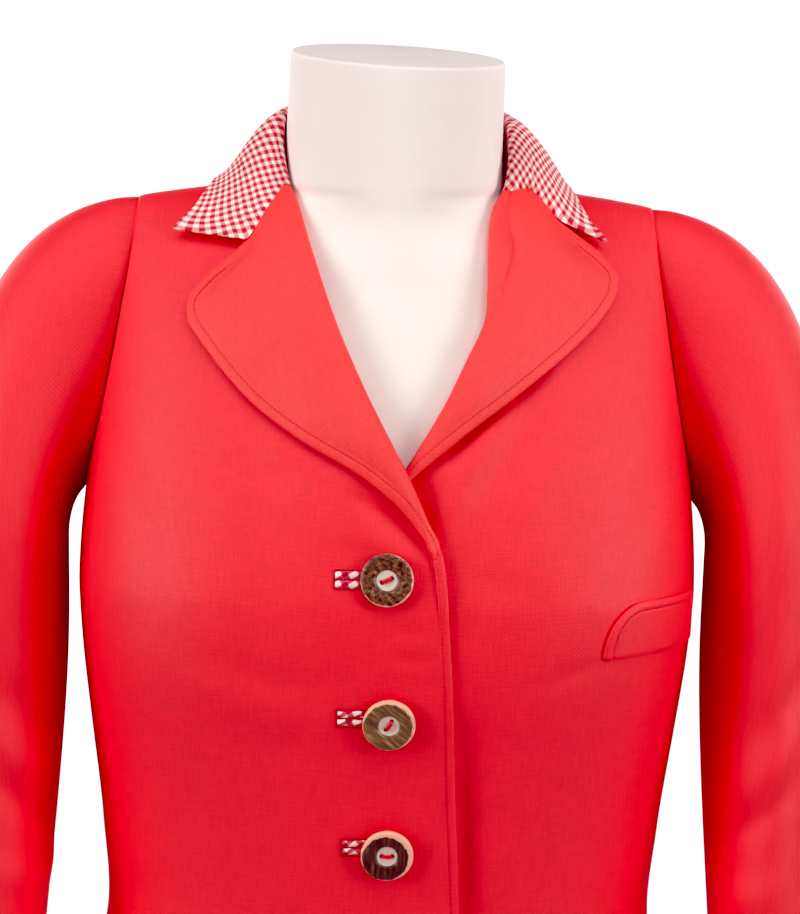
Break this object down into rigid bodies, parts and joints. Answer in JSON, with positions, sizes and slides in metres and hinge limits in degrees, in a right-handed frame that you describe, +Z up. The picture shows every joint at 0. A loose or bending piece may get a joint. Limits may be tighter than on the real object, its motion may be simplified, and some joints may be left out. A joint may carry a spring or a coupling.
{
  "type": "trachten jacket on dress form",
  "caption": "Fitted woman's trachten jacket in red linen with peaked lapels, a gingham collar, horn buttons and bound buttonholes, on a white limbless dress form.",
  "frame": {"origin": "middle of the whole one's box in plan, on the flat foot of the dress form", "axes": "+Z up the body; the front faces -Y; the wearer's left is +X"},
  "size_m": [0.502, 0.259, 0.7707],
  "materials": {
    "red_linen": "plain-weave linen, matt, slightly slubby",
    "gingham": "small red and white gingham check, matt cotton",
    "horn": "polished mottled horn with a pale dished centre",
    "thread": "red sewing thread",
    "form_cover": "matt warm white"
  },
  "bodies": {
    "root": {"dress_form": "form_cover", "front_right": "red_linen", "front_left": "red_linen", "back": "red_linen", "lapel_right": "red_linen", "lapel_left": "red_linen", "collar": "gingham", "sleeve_right": "red_linen", "sleeve_left": "red_linen", "breast_welt": "red_linen", "buttonhole_lips_1": "gingham", "button_1": "horn", "button_thread_1": "thread", "buttonhole_lips_2": "gingham", "button_2": "horn", "button_thread_2": "thread", "buttonhole_lips_3": "gingham", "button_3": "horn", "button_thread_3": "thread", "buttonhole_lips_4": "gingham", "button_4": "horn", "button_thread_4": "thread", "buttonhole_lips_5": "gingham", "button_5": "horn", "button_thread_5": "thread"}
  },
  "joints": []
}
